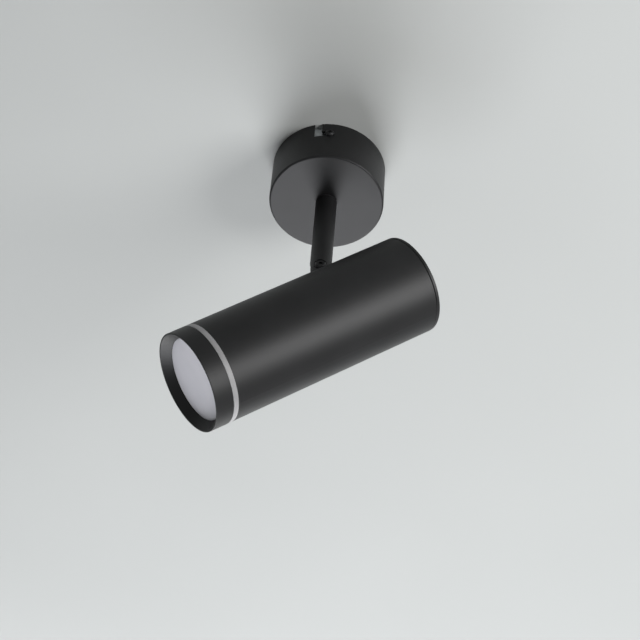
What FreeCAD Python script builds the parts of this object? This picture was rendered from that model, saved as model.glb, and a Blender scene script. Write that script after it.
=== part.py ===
"""Surface mounted ceiling spotlight: a round ceiling cup, a swivelling stem and a tilting tube head.

Millimetres, +Z up. The origin is on the ceiling, at the centre of the cup. The head lies in
the XZ plane, with its light opening towards -X and down.
"""
import FreeCAD, Part
import math
import os
import re
import Sketcher
from FreeCAD import Placement, Rotation, Vector

# Driving dimensions in millimetres and degrees: cell alias, value, what it measures.
SIZES = [
    # ceiling cup and its bayonet slots
    ("canopy_dia", 72.0, "outside of the ceiling cup"),
    ("canopy_height", 34.7, "ceiling to the underside of the cup"),
    ("canopy_wall", 1.2, "sheet of the cup"),
    ("canopy_edge", 1.2, "rounding of the cup's lower edge"),
    ("edge_break", 0.25, "rounding of the turned pieces' sharp edges"),
    ("slot_drop", 10.4, "ceiling to the side screws"),
    ("slot_width", 4.6, "width of the bayonet slot"),
    ("slot_turn", 7.3, "side screw to the slot's open leg"),
    # strip bracket on the ceiling
    ("strip_width", 20.0, "width of the bracket strip"),
    ("strip_thick", 1.5, "thickness of the bracket strip"),
    ("strip_gap", 0.3, "bracket ear to the cup's wall"),
    ("strip_bend", 1.0, "inner rounding of the bracket's bends"),
    ("ear_margin", 5.0, "bracket ear below the side screw"),
    ("ceiling_spacing", 50.0, "between the two ceiling slots"),
    ("ceiling_slot", 8.0, "overall length of a ceiling slot"),
    ("ceiling_hole", 4.2, "width of a ceiling slot"),
    ("cable_hole", 10.0, "supply cable's hole in the bracket"),
    # side screws
    ("side_thread", 3.0, "side screw's thread"),
    ("side_head_dia", 5.5, "side screw's head"),
    ("side_head_high", 1.7, "height of the side screw's head"),
    ("side_length", 7.0, "side screw under its head"),
    ("recess_width", 0.7, "blade of a cross recess"),
    # terminal block and earth screw
    ("block_poles", 3.0, "poles of the terminal block"),
    ("pole_pitch", 8.0, "between two poles"),
    ("block_width", 12.0, "terminal block along the bracket"),
    ("block_height", 13.0, "terminal block below the bracket"),
    ("block_offset", 13.5, "cup's axis to the terminal block"),
    ("sleeve_dia", 4.6, "brass sleeve in a pole"),
    ("sleeve_bore", 3.2, "wire hole of a sleeve"),
    ("clamp_dia", 3.0, "clamp screw of a pole"),
    ("block_screw_dia", 2.5, "screw that holds the block"),
    ("earth_dia", 4.0, "earth screw's thread"),
    ("earth_head", 7.5, "earth screw's head"),
    ("earth_offset", 13.0, "cup's axis to the earth screw"),
    ("cup_washer", 1.0, "cupped washer of the earth screw"),
    # swivel of the stem in the cup
    ("nipple_dia", 10.0, "threaded nipple"),
    ("nipple_bore", 7.0, "wire hole of the nipple"),
    ("nipple_grip", 14.0, "nipple inside the stem"),
    ("nipple_end", 2.0, "nipple above its nut"),
    ("turn_gap", 0.05, "running clearance of a pivot"),
    ("bush_wall", 1.0, "wall of the swivel bush"),
    ("bush_flange", 1.0, "flange of the swivel bush"),
    ("bush_dia", 18.0, "flange of the swivel bush, across"),
    ("bush_lip", 0.3, "bush below the cup"),
    ("stop_thick", 0.8, "stop washer"),
    ("stop_dia", 17.0, "stop washer, across"),
    ("stop_tab", 2.4, "width of the stop washer's tab"),
    ("stop_orbit", 12.0, "cup's axis to the stop peg"),
    ("peg_dia", 2.0, "stop peg"),
    ("spring_thick", 0.5, "sheet of the cone spring"),
    ("spring_rise", 0.6, "rise of the cone spring"),
    ("big_nut_flats", 14.0, "nuts of the nipple and the spigot, across flats"),
    ("big_nut_thick", 3.5, "thickness of those nuts"),
    # stem
    ("stem_dia", 13.3, "outside of the stem"),
    ("pivot_drop", 104.0, "ceiling to the tilt pivot"),
    ("plug_grip", 14.0, "fork's plug above its slot"),
    ("wire_way", 2.0, "wire slot through the fork and the tongue"),
    ("lead_dia", 1.5, "insulated lead"),
    # tongue and pivot
    ("head_tilt", 38.46, "head below the horizontal, in degrees"),
    ("tongue_width", 12.0, "tongue across its pivot"),
    ("tongue_thick", 5.6, "tongue along the pivot"),
    ("tongue_air", 1.2, "tongue to the floor of the fork's slot, and its wire room to the pivot"),
    ("lug_round", 6.2, "radius of the tongue's foot"),
    ("lug_foot", 1.7, "height of the tongue's foot on the tube"),
    ("ear_thick", 2.05, "one ear of the fork under the pivot screw"),
    ("seat_dia", 8.6, "flat seats of the pivot screw's head and nut"),
    ("pivot_dia", 4.0, "pivot screw"),
    ("pivot_head_dia", 7.0, "head of the pivot screw"),
    ("pivot_head_high", 1.8, "height of the pivot screw's head"),
    ("pivot_socket", 2.5, "hexagon socket of the pivot screw, across flats"),
    ("pivot_nut_flats", 7.0, "pivot nut, across flats"),
    ("pivot_nut_thick", 3.2, "pivot nut"),
    ("pivot_end", 0.8, "pivot screw past its nut"),
    ("friction_thick", 0.5, "friction washer"),
    ("friction_dia", 10.0, "friction washer, across"),
    ("spigot_dia", 10.0, "tongue's spigot through the tube"),
    ("spigot_bore", 6.0, "wire hole of the spigot"),
    ("saddle_thick", 2.5, "saddle washer inside the tube"),
    ("saddle_dia", 18.0, "saddle washer, across"),
    # tube head
    ("tube_dia", 60.0, "outside of the head"),
    ("tube_wall", 1.8, "wall of the head's tube"),
    ("head_length", 156.0, "whole head"),
    ("lug_back", 37.4, "tongue to the rear end of the head"),
    ("fit_gap", 0.05, "clearance of a turned fit in the tube"),
    ("cap_rim", 1.95, "visible rim of the rear cap"),
    ("cap_groove", 0.35, "shadow groove before the rear cap"),
    ("groove_deep", 0.8, "depth of the shadow groove"),
    ("cap_grip", 8.0, "rear cap inside the tube"),
    ("cap_wall", 2.6, "wall of the rear cap's collar"),
    ("cap_edge", 0.4, "rounding of the rear cap's edge"),
    ("seal_section", 1.6, "cord of the rear cap's sealing ring"),
    # light end
    ("ring_length", 11.5, "front ring"),
    ("rim_thick", 0.84, "front ring at its open edge"),
    ("bezel_deep", 5.15, "open edge to the diffuser"),
    ("window_inset", 5.0, "outside of the head to the diffuser that shows"),
    ("lip_thick", 0.8, "lip in front of the diffuser"),
    ("lip_cover", 1.4, "diffuser hidden behind the lip"),
    ("glow_width", 3.03, "acrylic ring"),
    ("ring_grip", 8.0, "front ring inside the tube"),
    ("glow_ports", 8.0, "light ports behind the acrylic ring"),
    ("port_width", 14.0, "one light port around the ring"),
    ("diffuser_thick", 1.5, "flange of the diffuser"),
    ("diffuser_gap", 0.25, "dark line round the diffuser"),
    ("keeper_thick", 1.5, "ring that keeps the diffuser"),
    ("keeper_wall", 2.2, "radial width of that ring"),
    ("reflector_deep", 10.0, "reflector ring"),
    ("reflector_wall", 1.2, "wall of the reflector ring"),
    ("reflector_narrow", 4.0, "taper of the reflector's radius"),
    # light source and its cooling
    ("board_gap", 4.2, "light board to the tube's inside"),
    ("board_thick", 1.6, "light board"),
    ("pad_thick", 0.4, "heat pad"),
    ("pad_inset", 0.5, "heat pad inside the board's edge"),
    ("chip_size", 3.0, "light chip"),
    ("chip_high", 0.7, "height of a light chip"),
    ("chip_count", 12.0, "light chips on the board"),
    ("chip_inset", 11.0, "board's edge to the circle of the light chips"),
    ("board_screw_dia", 2.5, "screw of the light board"),
    ("board_screw_inset", 6.0, "board's edge to its screws"),
    ("sink_plate", 6.0, "plate of the heat sink"),
    ("fin_length", 16.0, "fins of the heat sink"),
    ("fin_thick", 1.6, "one fin"),
    ("fin_count", 12.0, "fins of the heat sink"),
    ("fin_gap", 2.2, "fins to the tube's inside"),
    ("sink_core", 8.0, "core of the heat sink, radius"),
    # driver
    ("driver_room", 18.0, "tongue's axis to the driver housing"),
    ("driver_gap", 1.2, "driver housing to the tube's inside"),
    ("driver_wall", 1.5, "wall of the driver housing"),
    ("driver_lid", 1.5, "lid of the driver housing"),
    ("card_thick", 1.6, "driver's circuit board"),
    ("card_margin", 3.5, "circuit board to the housing's inside, across"),
    ("card_inset", 3.0, "driver's circuit board inside the housing's ends"),
    ("coil_size", 14.0, "transformer"),
    ("coil_length", 17.0, "transformer along the head"),
    ("can_dia", 10.0, "capacitor"),
    ("can_length", 18.0, "capacitor"),
    ("driver_screw_dia", 3.0, "screw that holds the driver"),
    ("driver_screw_orbit", 5.0, "driver's screws from the axis"),
    ("entry_inset", 13.0, "housing's outside to the head's leads"),
    ("lead_spread", 1.8, "between the two leads of a pair"),
]

# Sizes and places that follow from the driving ones. The head's own frame has its origin
# on the tube's axis under the tongue, +Z towards the rear end and the tongue on the -X side.
PLACES = {
    "canopy_radius": "canopy_dia / 2",
    "canopy_inner": "canopy_radius - canopy_wall",
    "canopy_floor": "-canopy_height + canopy_wall",
    "strip_reach": "sqrt((canopy_inner - strip_gap)^2 - (strip_width / 2)^2)",
    "ear_bottom": "-slot_drop - ear_margin",
    "block_top": "-strip_thick",
    "block_length": "block_poles * pole_pitch",
    "sleeve_drop": "block_top - block_height / 2",
    "bush_bore": "nipple_dia / 2 + turn_gap",
    "bush_radius": "bush_bore + bush_wall",
    "bush_top": "canopy_floor + bush_flange",
    "stop_base": "bush_top + turn_gap",
    "spring_base": "stop_base + stop_thick",
    "spring_high": "spring_thick + spring_rise",
    "nut_base": "spring_base + spring_high",
    "nut_top": "nut_base + big_nut_thick",
    "nipple_top": "nut_top + nipple_end",
    "stem_top": "-canopy_height - bush_lip - turn_gap",
    "fork_floor": "-pivot_drop + tongue_width / 2 + tongue_air",
    "nipple_radius": "nipple_dia / 2",
    "wire_offset": "pivot_dia / 2 + wire_way",
    "slot_half": "tongue_thick / 2 + turn_gap + friction_thick",
    "flat_half": "slot_half + ear_thick",
    "floor_reach": "tongue_width / 2 + tongue_air",
    "pivot_reach": "floor_reach + lug_foot",
    "wire_half": "(lead_spread + wire_way) / 2",
    "pivot_offset": "tube_dia / 2 + pivot_reach",
    "tube_radius": "tube_dia / 2",
    "tube_inner": "tube_radius - tube_wall",
    "fit_radius": "tube_inner - fit_gap",
    "front_face": "lug_back - head_length",
    "glow_front": "front_face + ring_length",
    "tube_front": "glow_front + glow_width",
    "cap_front": "lug_back - cap_rim",
    "tube_rear": "cap_front - cap_groove",
    "window_radius": "tube_radius - window_inset",
    "lip_front": "front_face + bezel_deep",
    "lip_back": "lip_front + lip_thick",
    "pocket_radius": "window_radius + lip_cover + fit_gap",
    "keeper_front": "lip_back + diffuser_thick",
    "ring_rear": "tube_front + ring_grip",
    "board_front": "ring_rear + reflector_deep",
    "board_rear": "board_front + board_thick",
    "sink_front": "board_rear + pad_thick",
    "sink_rear": "sink_front + sink_plate",
    "fins_rear": "sink_rear + fin_length",
    "board_radius": "tube_inner - board_gap",
    "chip_orbit": "board_radius - chip_inset",
    "board_screw_orbit": "board_radius - board_screw_inset",
    "fin_reach": "tube_inner - fin_gap",
    "driver_rear": "-driver_room",
    "driver_radius": "tube_inner - driver_gap",
    "entry_orbit": "driver_radius - entry_inset",
    "card_width": "2 * (driver_radius - driver_wall - card_margin)",
    "card_front": "fins_rear + driver_wall + card_inset",
    "card_length": "driver_rear - driver_lid - card_inset - card_front",
}

doc = FreeCAD.newDocument("Spotlight")
sheet = doc.addObject("Spreadsheet::Sheet", "Sizes")
for row, (alias, number, meaning) in enumerate(SIZES, start=1):
    sheet.set(f"A{row}", meaning)
    sheet.set(f"B{row}", str(number))
    sheet.setAlias(f"B{row}", alias)
doc.recompute()


def bound(formula):
    """The formula over the sheet's cells, with each derived name written out."""
    def cell(match):
        name = match.group(0)
        if name in PLACES:
            return f"({bound(PLACES[name])})"
        return f"Sizes.{name}"
    return re.sub(r"[a-z]+(?:_[a-z]+)+", cell, formula)


def value(formula):
    """What the formula comes to now."""
    number = sheet.evalExpression(bound(formula))
    return float(getattr(number, "Value", number))


def new_body(label):
    """An empty body with its label."""
    body = doc.addObject("PartDesign::Body", label)
    body.Label = label
    return body


def new_sketch(body, role, lift=None):
    """A sketch on one of the body's own planes, lifted along the plane's normal."""
    sketch = body.newObject("Sketcher::SketchObject", f"{body.Name}_sketch")
    plane = [item for item in body.Origin.OriginFeatures if item.Role == role][0]
    sketch.AttachmentSupport = (plane, [""])
    sketch.MapMode = "FlatFace"
    if lift:
        sketch.setExpression("AttachmentOffset.Base.z", bound(lift))
    return sketch


def pin_point(sketch, geometry, place, across, up):
    """Holds a sketch point at its distances from the sketch's origin."""
    for kind, axis, formula in (("DistanceX", -2, across), ("DistanceY", -1, up)):
        number = value(formula)
        if abs(number) < 1e-9:
            sketch.addConstraint(Sketcher.Constraint("PointOnObject", geometry, place, axis))
            continue
        held = Sketcher.Constraint(kind, -1, 1, geometry, place, number)
        index = sketch.addConstraint(held)
        sketch.setExpression(f"Constraints[{index}]", bound(formula))


def draw_outline(sketch, points):
    """Draws a closed outline of straight sides through the points."""
    spots = [Vector(value(across), value(up), 0) for across, up in points]
    first = sketch.GeometryCount
    for start, end in zip(spots, spots[1:] + spots[:1]):
        sketch.addGeometry(Part.LineSegment(start, end), False)
    for index in range(len(points)):
        following = (index + 1) % len(points)
        joined = Sketcher.Constraint("Coincident", first + index, 2, first + following, 1)
        sketch.addConstraint(joined)
    for index, (across, up) in enumerate(points):
        pin_point(sketch, first + index, 1, across, up)


def draw_circle(sketch, across, up, radius):
    """Draws a circle about a point."""
    centre = Vector(value(across), value(up), 0)
    circle = Part.Circle(centre, Vector(0, 0, 1), value(radius))
    geometry = sketch.addGeometry(circle, False)
    index = sketch.addConstraint(Sketcher.Constraint("Radius", geometry, value(radius)))
    sketch.setExpression(f"Constraints[{index}]", bound(radius))
    pin_point(sketch, geometry, 3, across, up)


def draw_slot(sketch, across, up, length, width):
    """Draws a round-ended slot that runs up the sketch."""
    radius = f"({width}) / 2"
    half = f"(({length}) - ({width})) / 2"
    ends = (f"({up}) + {half}", f"({up}) - {half}")
    turns = ((0, math.pi), (math.pi, 2 * math.pi))
    size = value(radius)
    x = value(across)
    arcs = []
    for end, (start, stop) in zip(ends, turns):
        circle = Part.Circle(Vector(x, value(end), 0), Vector(0, 0, 1), size)
        arcs.append(sketch.addGeometry(Part.ArcOfCircle(circle, start, stop), False))
    top, low = value(ends[0]), value(ends[1])
    left = sketch.addGeometry(Part.LineSegment(Vector(x - size, top, 0), Vector(x - size, low, 0)))
    right = sketch.addGeometry(Part.LineSegment(Vector(x + size, low, 0), Vector(x + size, top, 0)))
    joints = ((arcs[0], 2, left, 1), (left, 2, arcs[1], 1), (arcs[1], 2, right, 1), (right, 2, arcs[0], 1))
    for joint in joints:
        sketch.addConstraint(Sketcher.Constraint("Tangent", *joint))
    sketch.addConstraint(Sketcher.Constraint("Equal", arcs[0], arcs[1]))
    index = sketch.addConstraint(Sketcher.Constraint("Radius", arcs[0], size))
    sketch.setExpression(f"Constraints[{index}]", bound(radius))
    for arc, end in zip(arcs, ends):
        pin_point(sketch, arc, 3, across, end)


def turn(body, points, cut=False):
    """Turns an outline in the body's XZ plane about its Z axis, as metal or as a groove."""
    sketch = new_sketch(body, "XZ_Plane")
    draw_outline(sketch, points)
    kind = "Groove" if cut else "Revolution"
    feature = body.newObject(f"PartDesign::{kind}", f"{body.Name}_{kind}")
    feature.Profile = sketch
    feature.ReferenceAxis = (sketch, ["V_Axis"])
    feature.Angle = 360
    doc.recompute()
    return feature


def pad(body, sketch, length, middle=False):
    """Raises a sketch into metal."""
    feature = body.newObject("PartDesign::Pad", f"{body.Name}_pad")
    feature.Profile = sketch
    feature.setExpression("Length", bound(length))
    if middle:
        feature.SideType = "Symmetric"
    doc.recompute()
    return feature


def pocket(body, sketch, length, middle=False, onward=False):
    """Cuts a sketch out of the body, against the sketch's normal or onward along it."""
    before = body.Shape.Volume
    feature = body.newObject("PartDesign::Pocket", f"{body.Name}_pocket")
    feature.Profile = sketch
    feature.setExpression("Length", bound(length))
    feature.Reversed = onward
    if middle:
        feature.SideType = "Symmetric"
    doc.recompute()
    if not body.Shape.Volume < before:
        raise ValueError(f"{body.Label}: a pocket cuts nothing")
    return feature


def repeat_round(body, feature, count):
    """Repeats a feature evenly round the body's Z axis."""
    axis = [item for item in body.Origin.OriginFeatures if item.Role == "Z_Axis"][0]
    pattern = body.newObject("PartDesign::PolarPattern", f"{body.Name}_round")
    pattern.Originals = [feature]
    pattern.Axis = (axis, [""])
    pattern.Angle = 360
    pattern.setExpression("Occurrences", bound(count))
    body.Tip = pattern
    doc.recompute()
    return pattern


def edges_where(shape, wanted):
    """Names of the edges whose middle point passes the test."""
    names = []
    for number, edge in enumerate(shape.Edges, start=1):
        middle = edge.valueAt((edge.FirstParameter + edge.LastParameter) / 2)
        if wanted(edge, middle):
            names.append(f"Edge{number}")
    return names


def ease_edges(body, wanted, size, kind="Fillet"):
    """Rounds or bevels the edges that pass the test."""
    tip = body.Tip
    names = edges_where(tip.Shape, wanted)
    if not names:
        raise ValueError(f"{body.Label}: no edge to ease")
    feature = body.newObject(f"PartDesign::{kind}", f"{body.Name}_{kind}")
    feature.Base = (tip, names)
    feature.setExpression("Radius" if kind == "Fillet" else "Size", bound(size))
    body.Tip = feature
    doc.recompute()
    return feature


def ease_rim(body, radius, height, size):
    """Rounds the round edges at a radius and a height."""
    reach, level = value(radius), value(height)
    return ease_edges(body, lambda edge, spot: abs(spot.z - level) < 1e-6
                      and abs(math.hypot(spot.x, spot.y) - reach) < 1e-6, size)


def place(piece, across="0", along="0", up="0", axis=Vector(0, 0, 1), angle="0"):
    """Puts a piece at formulas for its position and its turn about an axis."""
    piece.Placement = Placement(Vector(0, 0, 0), Rotation(axis, 1.0))
    piece.setExpression("Placement.Base.x", bound(across))
    piece.setExpression("Placement.Base.y", bound(along))
    piece.setExpression("Placement.Base.z", bound(up))
    piece.setExpression("Placement.Rotation.Angle", bound(angle))
    return piece


def place_in_head(piece):
    """Puts a piece that is drawn in the head's own frame into the tilted head."""
    across = "pivot_offset * sin(head_tilt)"
    up = "-pivot_drop - pivot_offset * cos(head_tilt)"
    return place(piece, across=across, up=up, axis=Vector(0, 1, 0), angle="90 - head_tilt")


def place_on_pivot(piece):
    """Puts a piece whose own +Z is the pivot's near side, -Y, onto the tilt pivot."""
    return place(piece, up="-pivot_drop", axis=Vector(1, 0, 0), angle="90")


def ring_points(inner, outer, low, high):
    """Outline of a plain ring."""
    return [(inner, low), (outer, low), (outer, high), (inner, high)]


def rectangle_points(left, right, low, high):
    """Outline of a rectangle."""
    return [(left, low), (right, low), (right, high), (left, high)]


def hexagon_points(flats):
    """Outline of a hexagon with its flats facing up and down."""
    corner = f"({flats}) / sqrt(3)"
    half = f"({flats}) / 2"
    return [(corner, "0"), (f"{corner} / 2", half), (f"-{corner} / 2", half),
            (f"-{corner}", "0"), (f"-{corner} / 2", f"-{half}"), (f"{corner} / 2", f"-{half}")]


def new_nut(label, low, thick, flats, bore):
    """A hexagon nut on the Z axis with bevelled corners at both ends."""
    body = new_body(label)
    sketch = new_sketch(body, "XY_Plane", low)
    draw_outline(sketch, hexagon_points(flats))
    draw_circle(sketch, "0", "0", bore)
    pad(body, sketch, thick)
    bevel = f"({flats}) / sqrt(3) - ({flats}) / 2"
    corner = f"({flats}) / sqrt(3) + {bevel}"
    for face, inward in ((low, "+"), (f"({low}) + ({thick})", "-")):
        turn(body, [(f"({flats}) / 2", face), (corner, face),
                    (corner, f"({face}) {inward} 2 * ({bevel}) * tan(30)")], cut=True)
    return body


def new_screw(label, radius, length, head_radius, head_high):
    """A screw on the Z axis with its head above Z 0 and a domed head edge."""
    body = new_body(label)
    dome = f"({head_high}) / 2"
    turn(body, [("0", f"-({length})"), (radius, f"-({length})"), (radius, "0"), (head_radius, "0"),
                (head_radius, dome), (f"({head_radius}) - {dome}", head_high), ("0", head_high)])
    return body


def cross_recess(body, head_radius, head_high):
    """Cuts a cross recess into a screw's head."""
    for wide, tall in ((f"({head_radius})", "recess_width"), ("recess_width", f"({head_radius})")):
        sketch = new_sketch(body, "XY_Plane", head_high)
        draw_outline(sketch, rectangle_points(f"-{wide} / 2", f"{wide} / 2", f"-{tall} / 2", f"{tall} / 2"))
        pocket(body, sketch, f"({head_high}) * 0.6")


def primitive(kind, name, **sizes):
    """A Part primitive with its sizes bound to the sheet."""
    shape = doc.addObject(f"Part::{kind}", name)
    for size, formula in sizes.items():
        shape.setExpression(size, bound(formula))
    return shape


def joined(label, pieces):
    """Several separate solids kept together as one group."""
    group = doc.addObject("Part::Compound", label)
    group.Label = label
    group.Links = pieces
    doc.recompute()
    return group


# ---------------------------------------------------------------- ceiling cup and bracket

def make_canopy_cup():
    """The drawn cup with its swivel hole and two bayonet slots."""
    body = new_body("canopy_cup")
    turn(body, [("bush_radius", "-canopy_height"), ("canopy_radius", "-canopy_height"),
                ("canopy_radius", "0"), ("canopy_inner", "0"),
                ("canopy_inner", "canopy_floor"), ("bush_radius", "canopy_floor")])
    ease_rim(body, "canopy_radius", "-canopy_height", "canopy_edge")
    sketch = new_sketch(body, "XZ_Plane", "canopy_inner / 2")
    left, right = "-slot_turn - slot_width / 2", "-slot_turn + slot_width / 2"
    low, high = "-slot_drop - slot_width / 2", "-slot_drop + slot_width / 2"
    draw_outline(sketch, [(left, "canopy_wall"), (left, low), ("0", low), ("0", high),
                          (right, high), (right, "canopy_wall")])
    leg = pocket(body, sketch, "canopy_radius", onward=True)
    repeat_round(body, leg, "2")
    sketch = new_sketch(body, "XZ_Plane", "canopy_inner / 2")
    draw_circle(sketch, "0", "-slot_drop", "slot_width / 2")
    seat = pocket(body, sketch, "canopy_radius", onward=True)
    repeat_round(body, seat, "2")
    return body


def make_mounting_bracket():
    """The bent strip on the ceiling, with its ears, ceiling slots and cable hole."""
    body = new_body("mounting_bracket")
    sketch = new_sketch(body, "YZ_Plane")
    reach, inner = "strip_reach", "strip_reach - strip_thick"
    draw_outline(sketch, [(f"-{reach}", "0"), (f"-{reach}", "ear_bottom"), (f"-({inner})", "ear_bottom"),
                          (f"-({inner})", "-strip_thick"), (inner, "-strip_thick"),
                          (inner, "ear_bottom"), (reach, "ear_bottom"), (reach, "0")])
    pad(body, sketch, "strip_width", middle=True)
    outer, low = value(reach), value(inner)
    ease_edges(body, lambda edge, spot: abs(spot.z) < 1e-6 and abs(abs(spot.y) - outer) < 1e-6
               and abs(spot.x) < 1e-6, "strip_bend + strip_thick")
    under = value("-strip_thick")
    ease_edges(body, lambda edge, spot: abs(spot.z - under) < 1e-6
               and abs(abs(spot.y) - low) < 1e-6 and abs(spot.x) < 1e-6, "strip_bend")
    sketch = new_sketch(body, "XY_Plane")
    draw_slot(sketch, "0", "ceiling_spacing / 2", "ceiling_slot", "ceiling_hole")
    draw_slot(sketch, "0", "-ceiling_spacing / 2", "ceiling_slot", "ceiling_hole")
    draw_circle(sketch, "0", "0", "cable_hole / 2")
    draw_circle(sketch, "0", "-earth_offset", "earth_dia / 2")
    draw_circle(sketch, "pole_pitch / 2", "block_offset", "block_screw_dia / 2")
    pocket(body, sketch, "strip_thick")
    sketch = new_sketch(body, "XZ_Plane")
    draw_circle(sketch, "0", "-slot_drop", "side_thread / 2")
    pocket(body, sketch, "canopy_dia", middle=True)
    return body


def make_side_screws():
    """The two screws whose heads hold the cup in its slots."""
    for label, side, angle in (("side_screw_near", "-1", "90"), ("side_screw_far", "1", "-90")):
        body = new_screw(label, "side_thread / 2", "side_length", "side_head_dia / 2", "side_head_high")
        cross_recess(body, "side_head_dia / 2", "side_head_high")
        place(body, along=f"{side} * canopy_radius", up="-slot_drop", axis=Vector(1, 0, 0), angle=angle)
        yield body


def make_terminal_block():
    """The insulating block, with a sleeve hole and two clamp holes in each pole."""
    body = new_body("terminal_block")
    sketch = new_sketch(body, "XY_Plane", "block_top - block_height")
    near, far = "block_offset - block_width / 2", "block_offset + block_width / 2"
    draw_outline(sketch, rectangle_points("-block_length / 2", "block_length / 2", near, far))
    pad(body, sketch, "block_height")
    sketch = new_sketch(body, "XZ_Plane")
    for pole in pole_places():
        draw_circle(sketch, pole, "sleeve_drop", "sleeve_dia / 2")
    pocket(body, sketch, "canopy_dia", onward=False)
    sketch = new_sketch(body, "XY_Plane", "block_top - block_height")
    for pole in pole_places():
        for row in clamp_rows():
            draw_circle(sketch, pole, row, "clamp_dia / 2")
    pocket(body, sketch, "block_height / 2", onward=True)
    sketch = new_sketch(body, "XY_Plane", "block_top - block_height")
    draw_circle(sketch, "pole_pitch / 2", "block_offset", "block_screw_dia / 2")
    pocket(body, sketch, "block_height", onward=True)
    return body


def pole_places():
    """Where the poles lie along the block."""
    count = round(value("block_poles"))
    return [f"pole_pitch * ({index} - ({count} - 1) / 2)" for index in range(count)]


def clamp_rows():
    """Where the two clamp screws of a pole lie."""
    return ("block_offset - block_width / 4", "block_offset + block_width / 4")


def make_terminal_sleeves():
    """The brass sleeves that the wires enter."""
    pieces = []
    for number, pole in enumerate(pole_places()):
        outer = primitive("Cylinder", f"sleeve_{number}", Radius="sleeve_dia / 2", Height="block_width")
        inner = primitive("Cylinder", f"sleeve_bore_{number}", Radius="sleeve_bore / 2",
                          Height="block_width")
        for rod in (outer, inner):
            place(rod, across=pole, along="block_offset + block_width / 2", up="sleeve_drop",
                  axis=Vector(1, 0, 0), angle="90")
        cut = doc.addObject("Part::Cut", f"sleeve_cut_{number}")
        cut.Base = outer
        cut.Tool = inner
        pieces.append(cut)
    return joined("terminal_sleeves", pieces)


def make_clamp_screws():
    """The screws that clamp the wires, flush in the block's underside."""
    pieces = []
    high = "block_height / 2 - sleeve_dia / 2"
    for number, pole in enumerate(pole_places()):
        for side, row in enumerate(clamp_rows()):
            rod = primitive("Cylinder", f"clamp_{number}_{side}", Radius="clamp_dia / 2", Height=high)
            place(rod, across=pole, along=row, up="block_top - block_height")
            blade = primitive("Box", f"clamp_slot_{number}_{side}", Length="recess_width",
                              Width="clamp_dia", Height="recess_width")
            place(blade, across=f"{pole} - recess_width / 2", along=f"{row} - clamp_dia / 2",
                  up="block_top - block_height")
            cut = doc.addObject("Part::Cut", f"clamp_cut_{number}_{side}")
            cut.Base = rod
            cut.Tool = blade
            pieces.append(cut)
    return joined("clamp_screws", pieces)


def make_block_screw():
    """The screw that holds the terminal block to the bracket."""
    body = new_screw("block_screw", "block_screw_dia / 2", "block_height + strip_thick",
                     "block_screw_dia", "block_screw_dia / 2")
    place(body, across="pole_pitch / 2", along="block_offset", up="block_top - block_height",
          axis=Vector(1, 0, 0), angle="180")
    return body


def make_earth_screw():
    """The earth screw under the bracket, with its thread through the strip."""
    body = new_screw("earth_screw", "earth_dia / 2", "strip_thick + cup_washer", "earth_head / 2",
                     "earth_dia / 2")
    cross_recess(body, "earth_head / 2", "earth_dia / 2")
    place(body, along="-earth_offset", up="-strip_thick - cup_washer", axis=Vector(1, 0, 0), angle="180")
    return body


def make_earth_washer():
    """The cupped washer that traps the earth wire."""
    body = new_body("earth_washer")
    turn(body, ring_points("earth_dia / 2", "earth_head / 2 + cup_washer", "-cup_washer", "0"))
    place(body, along="-earth_offset", up="-strip_thick")
    return body


# ---------------------------------------------------------------- swivel and stem

def make_swivel_bush():
    """The flanged bush in the cup's hole, with a thin lip under the cup."""
    body = new_body("swivel_bush")
    lip = "-canopy_height - bush_lip"
    turn(body, [("bush_bore", lip), ("stem_dia / 2", lip), ("stem_dia / 2", "-canopy_height"),
                ("bush_radius", "-canopy_height"), ("bush_radius", "canopy_floor"),
                ("bush_dia / 2", "canopy_floor"), ("bush_dia / 2", "bush_top"), ("bush_bore", "bush_top")])
    return body


def make_stop_peg():
    """The peg on the cup's floor that the stop washer's tab meets."""
    peg = primitive("Cylinder", "stop_peg", Radius="peg_dia / 2",
                    Height="spring_base - canopy_floor + stop_thick")
    return place(peg, across="stop_orbit", up="canopy_floor")


def make_stop_washer():
    """The washer keyed to the nipple, with the tab that limits the swivel."""
    body = new_body("stop_washer")
    turn(body, ring_points("nipple_radius", "stop_dia / 2", "stop_base", "spring_base"))
    sketch = new_sketch(body, "XY_Plane", "stop_base")
    draw_outline(sketch, rectangle_points("-stop_orbit - peg_dia / 2", "-nipple_radius - spring_thick",
                                          "-stop_tab / 2", "stop_tab / 2"))
    pad(body, sketch, "stop_thick")
    return body


def make_cone_spring():
    """The cone spring that keeps the swivel stiff."""
    body = new_body("cone_spring")
    turn(body, [("nipple_radius", "spring_base + spring_rise"), ("stop_dia / 2", "spring_base"),
                ("stop_dia / 2", "spring_base + spring_thick"),
                ("nipple_radius", "spring_base + spring_high")])
    return body


def make_swivel_nut():
    """The nut that closes the swivel."""
    return new_nut("swivel_nut", "nut_base", "big_nut_thick", "big_nut_flats", "nipple_radius")


def make_stem_nipple():
    """The hollow threaded nipple from the stem up into the cup."""
    body = new_body("stem_nipple")
    turn(body, ring_points("nipple_bore / 2", "nipple_radius", "stem_top - nipple_grip", "nipple_top"))
    return body


def round_end(body, reach):
    """Rounds a bar of that radius about the pivot at its lower end."""
    sketch = new_sketch(body, "XZ_Plane")
    draw_circle(sketch, "0", "-pivot_drop", "stem_dia / 2")
    pad(body, sketch, "stem_dia", middle=True)
    sketch = new_sketch(body, "XY_Plane", "-pivot_drop - stem_dia / 2")
    draw_circle(sketch, "0", "0", reach)
    draw_circle(sketch, "0", "0", "stem_dia")
    pocket(body, sketch, "stem_dia", onward=True)


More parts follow.
